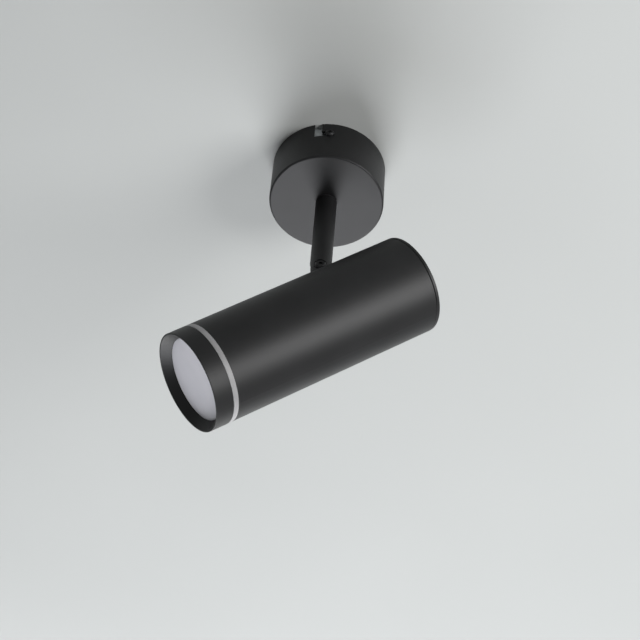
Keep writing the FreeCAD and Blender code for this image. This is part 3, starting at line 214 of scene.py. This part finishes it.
def make_finish(name, dark, light, gloss, cloud_mm=7.0, grain_mm=0.5, depth_mm=0.004,
                stretch=None, **sockets):
    """A finish with slow clouds between two colours, and a fine grain in its gloss and its relief.

    The gloss is the lowest and the highest roughness, a stretch draws the grain out along an axis,
    and further names are sockets of the shader. Most real grains are about 0.1 mm, which is too
    fine to show, so they are drawn at 0.3 to 0.6 mm.
    """
    material = bpy.data.materials.new(name)
    material.use_nodes = True
    tree = material.node_tree
    shader = tree.nodes["Principled BSDF"]
    for socket, setting in sockets.items():
        shader.inputs[socket.replace("_", " ")].default_value = setting
    place = add_node(tree, "ShaderNodeTexCoord").outputs["Object"]
    cloud = add_node(tree, "ShaderNodeTexNoise", Vector=place, Scale=1 / (cloud_mm * MM))
    shade = add_node(tree, "ShaderNodeMapRange", Value=cloud.outputs["Fac"],
                     From_Min=NOISE_LOW, From_Max=NOISE_HIGH)
    color = add_node(tree, "ShaderNodeMix", {"data_type": "RGBA"}, _0=shade.outputs["Result"],
                     _6=linear(dark), _7=linear(light))
    tree.links.new(color.outputs[2], shader.inputs["Base Color"])
    if stretch:
        place = add_node(tree, "ShaderNodeMapping", Vector=place, Scale=stretch).outputs["Vector"]
    grain = add_node(tree, "ShaderNodeTexNoise", Vector=place, Scale=1 / (grain_mm * MM),
                     Detail=GRAIN_DETAIL)
    sheen = add_node(tree, "ShaderNodeMapRange", Value=grain.outputs["Fac"],
                     From_Min=NOISE_LOW, From_Max=NOISE_HIGH, To_Min=gloss[0], To_Max=gloss[1])
    tree.links.new(sheen.outputs["Result"], shader.inputs["Roughness"])
    relief = add_node(tree, "ShaderNodeBump", Height=grain.outputs["Fac"], Distance=depth_mm * MM,
                      Strength=RELIEF_STRENGTH)
    tree.links.new(relief.outputs["Normal"], shader.inputs["Normal"])
    return material


def powder_coat(finish):
    """Polyester powder, sprayed and baked.

    It gives a deep black with one broad soft sheen. A fine grain breaks the sheen up, and a slow
    ripple, as of orange peel, makes its edges waver. The resin's index is 1.5, and the matting
    agent in the coat brings the sheen down to that of a lower one.
    """
    material = make_finish("sprayed_black_powder_coat", finish.coat_color, finish.coat_cloud,
                           (finish.coat_smooth, finish.coat_rough), cloud_mm=18.0,
                           grain_mm=finish.coat_grain / MM, depth_mm=0.006, IOR=1.37)
    tree = material.node_tree
    place = tree.nodes["Texture Coordinate"].outputs["Object"]
    ripple = add_node(tree, "ShaderNodeTexNoise", Vector=place, Scale=1 / finish.coat_ripple)
    peel = add_node(tree, "ShaderNodeBump", Height=ripple.outputs["Fac"],
                    Distance=finish.peel_depth)
    tree.links.new(peel.outputs["Normal"], tree.nodes["Bump"].inputs["Normal"])
    return material


def zinc_plate():
    """Bright zinc, plated on steel: a pale, cloudy, slightly blue shine."""
    name = "bright_zinc_plate"
    made = bpy.data.materials.get(name)
    return made or make_finish(name, "#A9ADB0", "#C6C9CA", (0.30, 0.42), Metallic=1.0)


def lead_pair():
    """Silicone, extruded on a pair of wires: soft and dull, with the brown lead on the -Y side."""
    material = make_finish("extruded_silicone_pair", *BROWN_LEAD, LEAD_GLOSS, IOR=1.41)
    tree = material.node_tree
    place = tree.nodes["Texture Coordinate"].outputs["Object"]
    sides = add_node(tree, "ShaderNodeSeparateXYZ", Vector=place)
    blue = add_node(tree, "ShaderNodeMath", {"operation": "GREATER_THAN"}, _0=sides.outputs["Y"],
                    _1=0.0)
    either = add_node(tree, "ShaderNodeMix", {"data_type": "RGBA"}, _0=blue.outputs[0],
                      _6=tree.nodes["Mix"].outputs[2], _7=linear(BLUE_LEAD[0]))
    tree.links.new(either.outputs[2], tree.nodes["Principled BSDF"].inputs["Base Color"])
    return material


def ceiling_paint(stage):
    """Emulsion, rolled on plaster: matt and even, so it shows only the light and the lamp's shadow.

    It is open from above and to the light from there, and it fades into the backdrop far off.
    """
    material = make_finish("rolled_matt_emulsion", stage.ceiling_color, stage.ceiling_cloud,
                           (0.88, 0.95), cloud_mm=260.0, grain_mm=3.0, depth_mm=0.02)
    tree = material.node_tree
    place = tree.nodes["Texture Coordinate"].outputs["Object"]
    above = add_node(tree, "ShaderNodeNewGeometry").outputs["Backfacing"]
    path = add_node(tree, "ShaderNodeLightPath")
    reach = add_node(tree, "ShaderNodeVectorMath", {"operation": "LENGTH"}, _0=place)
    distant = add_node(tree, "ShaderNodeMapRange", {"interpolation_type": "SMOOTHSTEP"},
                       Value=reach.outputs["Value"], From_Min=stage.fade_start,
                       From_Max=stage.fade_end)
    seen_far = add_node(tree, "ShaderNodeMath", {"operation": "MULTIPLY"},
                        _0=distant.outputs["Result"], _1=path.outputs["Is Camera Ray"])
    shade = add_node(tree, "ShaderNodeMath", {"operation": "MAXIMUM"},
                     _0=path.outputs["Is Shadow Ray"], _1=seen_far.outputs[0])
    either = add_node(tree, "ShaderNodeMath", {"operation": "MAXIMUM"}, _0=above,
                      _1=shade.outputs[0])
    clear = add_node(tree, "ShaderNodeBsdfTransparent")
    open_side = add_node(tree, "ShaderNodeMixShader", _0=either.outputs[0],
                         _1=tree.nodes["Principled BSDF"].outputs[0], _2=clear.outputs[0])
    tree.links.new(open_side.outputs[0], tree.nodes["Material Output"].inputs["Surface"])
    return material


def assign(names, material):
    """Gives CAD nodes a material."""
    for name in names:
        mesh = NODES[name].data
        mesh.materials.clear()
        mesh.materials.append(material)


# ---------------------------------------------------------------- shapes

def finish_piece(name, shape, material, body):
    """Makes a piece of a bmesh, gives it its material and lets it ride on its body."""
    bmesh.ops.remove_doubles(shape, verts=shape.verts, dist=MERGE_DISTANCE)
    bmesh.ops.recalc_face_normals(shape, faces=shape.faces)
    mesh = bpy.data.meshes.new(name)
    shape.to_mesh(mesh)
    shape.free()
    mesh.materials.append(material)
    piece = bpy.data.objects.new(name, mesh)
    bpy.context.scene.collection.objects.link(piece)
    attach(piece, body)
    return piece


def lay_lead(name, route, diameter, material):
    """Lays an insulated lead in the cup along a smooth line by a route's points, in millimetres."""
    curve = bpy.data.curves.new(name, "CURVE")
    curve.dimensions = "3D"
    curve.bevel_depth = diameter / 2
    curve.bevel_resolution = 5
    curve.resolution_u = 12
    curve.use_fill_caps = True
    spline = curve.splines.new("NURBS")
    spline.points.add(len(route) - 1)
    for point, spot in zip(spline.points, route):
        point.co = (*(part * MM for part in spot), 1.0)
    spline.order_u = 3
    spline.use_endpoint_u = True
    curve.materials.append(material)
    lead = bpy.data.objects.new(name, curve)
    bpy.context.scene.collection.objects.link(lead)
    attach(lead, "ceiling_body")


def lathe(shape, outline, steps=64):
    """Spins a closed outline of radius and height pairs about +Z."""
    corners = [shape.verts.new((radius, 0, height)) for radius, height in outline]
    edges = [shape.edges.new(pair) for pair in zip(corners[-1:] + corners[:-1], corners)]
    bmesh.ops.spin(shape, geom=corners + edges, cent=(0, 0, 0), axis=SWIVEL_AXIS, dvec=(0, 0, 0),
                   angle=math.tau, steps=steps, use_merge=True)


def wind_thread(shape, root, crest, low, high, pitch, steps=32):
    """Winds one ridge of a thread about +Z.

    Nine tenths of a pitch go to the ridge's foot, and one to its flat crest.
    """
    flanks = ((root, low), (crest, low + pitch * 0.4), (crest, low + pitch * 0.5),
              (root, low + pitch * 0.9))
    ridge = shape.faces.new([shape.verts.new((radius, 0, height)) for radius, height in flanks])
    turns = (high - low) / pitch - 0.9
    count = int(turns * steps)
    bmesh.ops.spin(shape, geom=[ridge] + list(ridge.edges) + list(ridge.verts), cent=(0, 0, 0),
                   axis=SWIVEL_AXIS, dvec=(0, 0, pitch / steps), angle=count * math.tau / steps,
                   steps=count, use_merge=False)


# ---------------------------------------------------------------- operators

class SPOTLIGHT_OT_stage(bpy.types.Operator):
    """Adds the ceiling, the camera and the lights"""
    bl_idname = "spotlight.stage"
    bl_label = "Stage"

    def execute(self, context):
        scene = context.scene
        stage = scene.spotlight_stage
        scene.view_settings.view_transform = "Standard"
        self.add_ceiling(stage)
        self.add_camera(scene, stage)
        self.add_lights()
        self.add_world(scene, stage)
        return {"FINISHED"}

    def add_ceiling(self, stage):
        """A large plain ceiling that faces down, just over the cup's rim, open inside the cup."""
        mesh = bpy.data.meshes.new("ceiling")
        shape = bmesh.new()
        bmesh.ops.create_circle(shape, cap_ends=False, radius=stage.ceiling_hole,
                                segments=HOLE_SIDES)
        grown = bmesh.ops.extrude_edge_only(shape, edges=shape.edges[:])
        rim = [item for item in grown["geom"] if isinstance(item, bmesh.types.BMVert)]
        spread = stage.ceiling_reach / stage.ceiling_hole
        bmesh.ops.scale(shape, vec=(spread, spread, 1), verts=rim)
        shape.normal_update()
        upward = [face for face in shape.faces if face.normal.z > 0]
        bmesh.ops.reverse_faces(shape, faces=upward)
        bmesh.ops.translate(shape, vec=(0, 0, CEILING_GAP), verts=shape.verts)
        shape.to_mesh(mesh)
        shape.free()
        ceiling = bpy.data.objects.new("ceiling", mesh)
        bpy.context.scene.collection.objects.link(ceiling)
        mesh.materials.append(ceiling_paint(stage))

    def add_camera(self, scene, stage):
        """The camera where the photograph was taken from, under the ceiling and looking up."""
        lens = bpy.data.cameras.new("camera")
        lens.lens = stage.lens
        lens.sensor_width = 36.0
        lens.clip_start = 0.01
        camera = bpy.data.objects.new("camera", lens)
        turn = (Matrix.Rotation(stage.camera_heading, 4, "Z")
                @ Matrix.Rotation(math.pi / 2 + stage.camera_climb, 4, "X")
                @ Matrix.Rotation(stage.camera_roll, 4, "Z"))
        camera.matrix_world = Matrix.Translation(Vector(stage.camera_place)) @ turn
        scene.collection.objects.link(camera)
        scene.camera = camera

    def add_lights(self):
        """The soft panels: strong ones below, behind and at the right, and weak ones all round."""
        for name, place, size, power, color in PANELS:
            light = bpy.data.lights.new(name, "AREA")
            light.shape = "SQUARE"
            light.size = size
            light.energy = power
            light.color = linear(color)[:3]
            lamp = bpy.data.objects.new(name, light)
            lamp.location = place
            lamp.rotation_euler = (PANEL_AIM - Vector(place)).to_track_quat("-Z", "Y").to_euler()
            bpy.context.scene.collection.objects.link(lamp)

    def add_world(self, scene, stage):
        """Even room light, with a pale backdrop to the camera, to gloss and through glass."""
        world = bpy.data.worlds.new("room")
        world.use_nodes = True
        tree = world.node_tree
        tree.nodes.clear()
        path = add_node(tree, "ShaderNodeLightPath")
        pale = add_node(tree, "ShaderNodeBackground", Color=linear(stage.backdrop_color),
                        Strength=1.0)
        room = add_node(tree, "ShaderNodeBackground", Color=linear(stage.room_color),
                        Strength=stage.room_light)
        gloss = add_node(tree, "ShaderNodeMath", {"operation": "MAXIMUM"},
                         _0=path.outputs["Is Glossy Ray"], _1=path.outputs["Is Transmission Ray"])
        dimmed = add_node(tree, "ShaderNodeMath", {"operation": "MULTIPLY"}, _0=gloss.outputs[0],
                          _1=stage.backdrop_gloss)
        share = add_node(tree, "ShaderNodeMath", {"operation": "MAXIMUM"}, _0=dimmed.outputs[0],
                         _1=path.outputs["Is Camera Ray"])
        mixed = add_node(tree, "ShaderNodeMixShader", _0=share.outputs[0],
                         _1=room.outputs[0], _2=pale.outputs[0])
        output = add_node(tree, "ShaderNodeOutputWorld")
        tree.links.new(mixed.outputs[0], output.inputs["Surface"])
        scene.world = world


class SPOTLIGHT_OT_coat(bpy.types.Operator):
    """Powder coats the cup, the stem, its fork, the tongue, the tube, its cap and the front ring"""
    bl_idname = "spotlight.coat"
    bl_label = "Powder Coat"

    def execute(self, context):
        assign(("canopy_cup", "stem_tube", "stem_fork", "tilt_lug", "body_tube", "rear_cap",
                "front_ring"), powder_coat(context.scene.spotlight_finish))
        return {"FINISHED"}


class SPOTLIGHT_OT_light_end(bpy.types.Operator):
    """Finishes the acrylic band, the diffuser and what lies behind them"""
    bl_idname = "spotlight.light_end"
    bl_label = "Light End"

    def execute(self, context):
        finish = context.scene.spotlight_finish
        # Clear acrylic, turned and then frosted: the light sinks in and comes back soft and grey,
        # because the dark tube shows through it.
        assign(("light_ring",), make_finish(
            "frosted_turned_acrylic", finish.acrylic_color, finish.acrylic_cloud, (0.42, 0.55),
            cloud_mm=9.0, depth_mm=0.002, IOR=1.49, Subsurface_Weight=0.6,
            Subsurface_Radius=(4 * MM, 4 * MM, 4 * MM), Subsurface_Scale=1.0))
        # Opal acrylic, cast as a sheet: even, milky and a little cool, with a satin face.
        assign(("diffuser",), make_finish(
            "opal_cast_acrylic", finish.diffuser_color, finish.diffuser_cloud, (0.40, 0.50),
            cloud_mm=14.0, grain_mm=0.6, depth_mm=0.001, IOR=1.49, Subsurface_Weight=0.5,
            Subsurface_Radius=(3 * MM, 3 * MM, 3 * MM), Subsurface_Scale=1.0))
        # Polycarbonate, moulded in a satin tool: a warm, even white with hardly a highlight.
        assign(("reflector",), make_finish(
            "moulded_white_polycarbonate", "#E4E4E2", "#EFEFEC", (0.40, 0.50), IOR=1.58))
        # Solder mask, screened on the board: a flat white with a thin wet gloss.
        assign(("led_board",), make_finish(
            "screened_white_solder_mask", "#E2E4E2", "#ECEDEA", (0.25, 0.35), IOR=1.52))
        # Silicone filled with phosphor, cast over each chip: a soft, saturated yellow.
        assign(("led_chips",), make_finish(
            "cast_phosphor_silicone", "#D8C24A", "#E4D264", (0.30, 0.40), IOR=1.41))
        return {"FINISHED"}


class SPOTLIGHT_OT_fasteners(bpy.types.Operator):
    """Finishes the screws, nuts, washers, the bracket and the spring"""
    bl_idname = "spotlight.fasteners"
    bl_label = "Fasteners"

    def execute(self, context):
        # Zinc, plated on steel and passivated black: nearly black, with a dull glint on its edges.
        assign(("side_screw_near", "side_screw_far", "pivot_screw", "pivot_nut", "pivot_washer"),
               make_finish("black_passivated_zinc_plate", "#1C1C1D", "#2A2A2B", (0.28, 0.42),
                           cloud_mm=1.5, grain_mm=0.3, depth_mm=0.002, Metallic=0.6))
        assign(("clamp_screws", "block_screw", "earth_screw", "stop_washer", "swivel_nut",
                "stem_nipple", "stop_peg", "lug_nut", "board_screws", "driver_screws",
                "mounting_bracket"), zinc_plate())
        # Spring wire, drawn and blued: a dark, smooth grey-blue with a narrow shine along the wire.
        assign(("cone_spring",), make_finish(
            "drawn_blued_spring_wire", "#5A5E66", "#747880", (0.30, 0.40), Metallic=1.0))
        # Brass, turned: a warm yellow with fine tool marks that draw the shine out.
        assign(("earth_washer", "terminal_sleeves"), make_finish(
            "turned_brass", "#B08D4A", "#C9A65E", (0.22, 0.34), grain_mm=0.4, stretch=(1, 6, 6),
            Metallic=1.0))
        return {"FINISHED"}


class SPOTLIGHT_OT_inside(bpy.types.Operator):
    """Finishes the terminal block, the bushes, the driver, the heat sink and the leads"""
    bl_idname = "spotlight.inside"
    bl_label = "Inner Pieces"

    def execute(self, context):
        # Polyamide, moulded with a spark-eroded grain: a dry, slightly yellow white.
        assign(("terminal_block", "driver_housing", "driver_lid"), make_finish(
            "moulded_white_polyamide", "#DADAD6", "#E6E6E1", (0.42, 0.55), depth_mm=0.01, IOR=1.53))
        # Nylon, turned from black rod: dark, waxy and a little glossier than the coat.
        assign(("swivel_bush", "friction_washers"), make_finish(
            "turned_black_nylon", "#1B1B1C", "#232324", (0.35, 0.50), IOR=1.53))
        # Aluminium, extruded and machined: pale, with fine lines along it that stretch its shine.
        assign(("heat_sink", "saddle_washer", "diffuser_keeper"), make_finish(
            "extruded_aluminium", "#B9BBBD", "#CDCFD0", (0.32, 0.45), grain_mm=0.4,
            stretch=(1, 8, 8), Metallic=1.0))
        # Silicone, rolled to a pad: a flat, chalky grey.
        assign(("thermal_pad",), make_finish(
            "rolled_grey_silicone", "#8D9094", "#9DA0A4", (0.60, 0.75), depth_mm=0.01, IOR=1.41))
        # Silicone, extruded as a round cord: a soft black with a faint sheen.
        assign(("cap_seal",), make_finish(
            "extruded_black_silicone", "#18181A", "#222224", (0.45, 0.60), IOR=1.41))
        assign(("stem_leads", "head_leads", "board_leads"), lead_pair())
        # Glass epoxy under green lacquer, etched: a deep green with a clear gloss.
        assign(("driver_card",), make_finish(
            "etched_green_glass_epoxy", "#1B5A34", "#236B40", (0.30, 0.42), IOR=1.52))
        # Polyester tape, wound round the coil: a bright, smooth yellow.
        assign(("driver_coil",), make_finish(
            "wound_yellow_polyester", "#C7A62C", "#D6B840", (0.30, 0.42), IOR=1.58))
        # Vinyl sleeve, shrunk on the can: a tight, glossy black.
        assign(("driver_can",), make_finish(
            "shrunk_black_vinyl", "#17181A", "#202124", (0.25, 0.35), IOR=1.53))
        return {"FINISHED"}


class SPOTLIGHT_OT_nipple(bpy.types.Operator):
    """Cuts the thread of the nipple that joins the stem to the cup"""
    bl_idname = "spotlight.nipple"
    bl_label = "Threaded Nipple"

    def execute(self, context):
        sizes = context.scene.spotlight_pieces
        bore, root = sizes.nipple_bore, sizes.thread_root
        low, high = (corner[2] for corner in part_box("stem_nipple"))
        bevel_width, bevel_height = 0.3 * MM, 0.4 * MM
        # The thread stops under the nipple's mouth, and its ridge sinks into the core.
        run_out, sink = 0.3 * MM, 0.05 * MM
        shape = bmesh.new()
        lathe(shape, ((bore, low), (root, low), (root, high - bevel_height),
                      (root - bevel_width, high), (bore, high)))
        wind_thread(shape, root - sink, sizes.thread_radius, low, high - run_out,
                    sizes.thread_pitch)
        piece = finish_piece("nipple_thread", shape, zinc_plate(), "stem_body")
        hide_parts("stem_nipple")
        return {"FINISHED"}


class SPOTLIGHT_OT_cup_leads(bpy.types.Operator):
    """Lays the two leads from the terminal block to the nipple"""
    bl_idname = "spotlight.cup_leads"
    bl_label = "Cup Leads"

    def execute(self, context):
        diameter = context.scene.spotlight_pieces.lead_diameter
        # Silicone, extruded on the wire: soft and dull, in the brown and blue of mains leads.
        for side, color, shades in ((-1, "brown", BROWN_LEAD), (1, "blue", BLUE_LEAD)):
            cover = make_finish(f"extruded_{color}_silicone", *shades, LEAD_GLOSS, IOR=1.41)
            # From its clamp, level out of the block, round and down into the nipple's bore.
            route = ((side * 8, 9.5, -8), (side * 8, 5, -8), (side * 8, 1, -8.5),
                     (side * 5, side * -2, -10), (side * 1, side * -1.6, -13),
                     (0, side * 0.9, -17), (0, side * 0.9, -22.9))
            lay_lead(f"cup_lead_{color}", route, diameter, cover)
        return {"FINISHED"}


class SPOTLIGHT_PT_panel(bpy.types.Panel):
    """The spotlight's settings and steps"""
    bl_label = "Ceiling Spotlight"
    bl_idname = "SPOTLIGHT_PT_panel"
    bl_space_type = "VIEW_3D"
    bl_region_type = "UI"
    bl_category = "Spotlight"

    def draw(self, context):
        column = self.layout.column()
        scene = context.scene
        for group in (scene.spotlight_finish, scene.spotlight_pieces, scene.spotlight_stage):
            for name in group.bl_rna.properties.keys():
                if name not in ("rna_type", "name"):
                    column.prop(group, name)
        for step in STEPS:
            column.operator(step.bl_idname)


STEPS = (SPOTLIGHT_OT_stage, SPOTLIGHT_OT_coat, SPOTLIGHT_OT_light_end, SPOTLIGHT_OT_fasteners,
         SPOTLIGHT_OT_inside, SPOTLIGHT_OT_nipple, SPOTLIGHT_OT_cup_leads)
GROUPS = (SpotlightFinish, SpotlightPieces, SpotlightStage)
CLASSES = GROUPS + STEPS + (SPOTLIGHT_PT_panel,)


def register():
    """Registers the classes and their settings."""
    for item in CLASSES:
        bpy.utils.register_class(item)
    bpy.types.Scene.spotlight_finish = bpy.props.PointerProperty(type=SpotlightFinish)
    bpy.types.Scene.spotlight_pieces = bpy.props.PointerProperty(type=SpotlightPieces)
    bpy.types.Scene.spotlight_stage = bpy.props.PointerProperty(type=SpotlightStage)


def unregister():
    """Takes the classes and their settings away again."""
    del bpy.types.Scene.spotlight_stage
    del bpy.types.Scene.spotlight_pieces
    del bpy.types.Scene.spotlight_finish
    for item in reversed(CLASSES):
        bpy.utils.unregister_class(item)


def main():
    """Runs the steps in order."""
    register()
    bpy.ops.spotlight.stage()
    bpy.ops.spotlight.coat()
    bpy.ops.spotlight.light_end()
    bpy.ops.spotlight.fasteners()
    bpy.ops.spotlight.inside()
    bpy.ops.spotlight.nipple()
    bpy.ops.spotlight.cup_leads()
    bpy.context.view_layer.update()


if __name__ == "__main__":
    main()
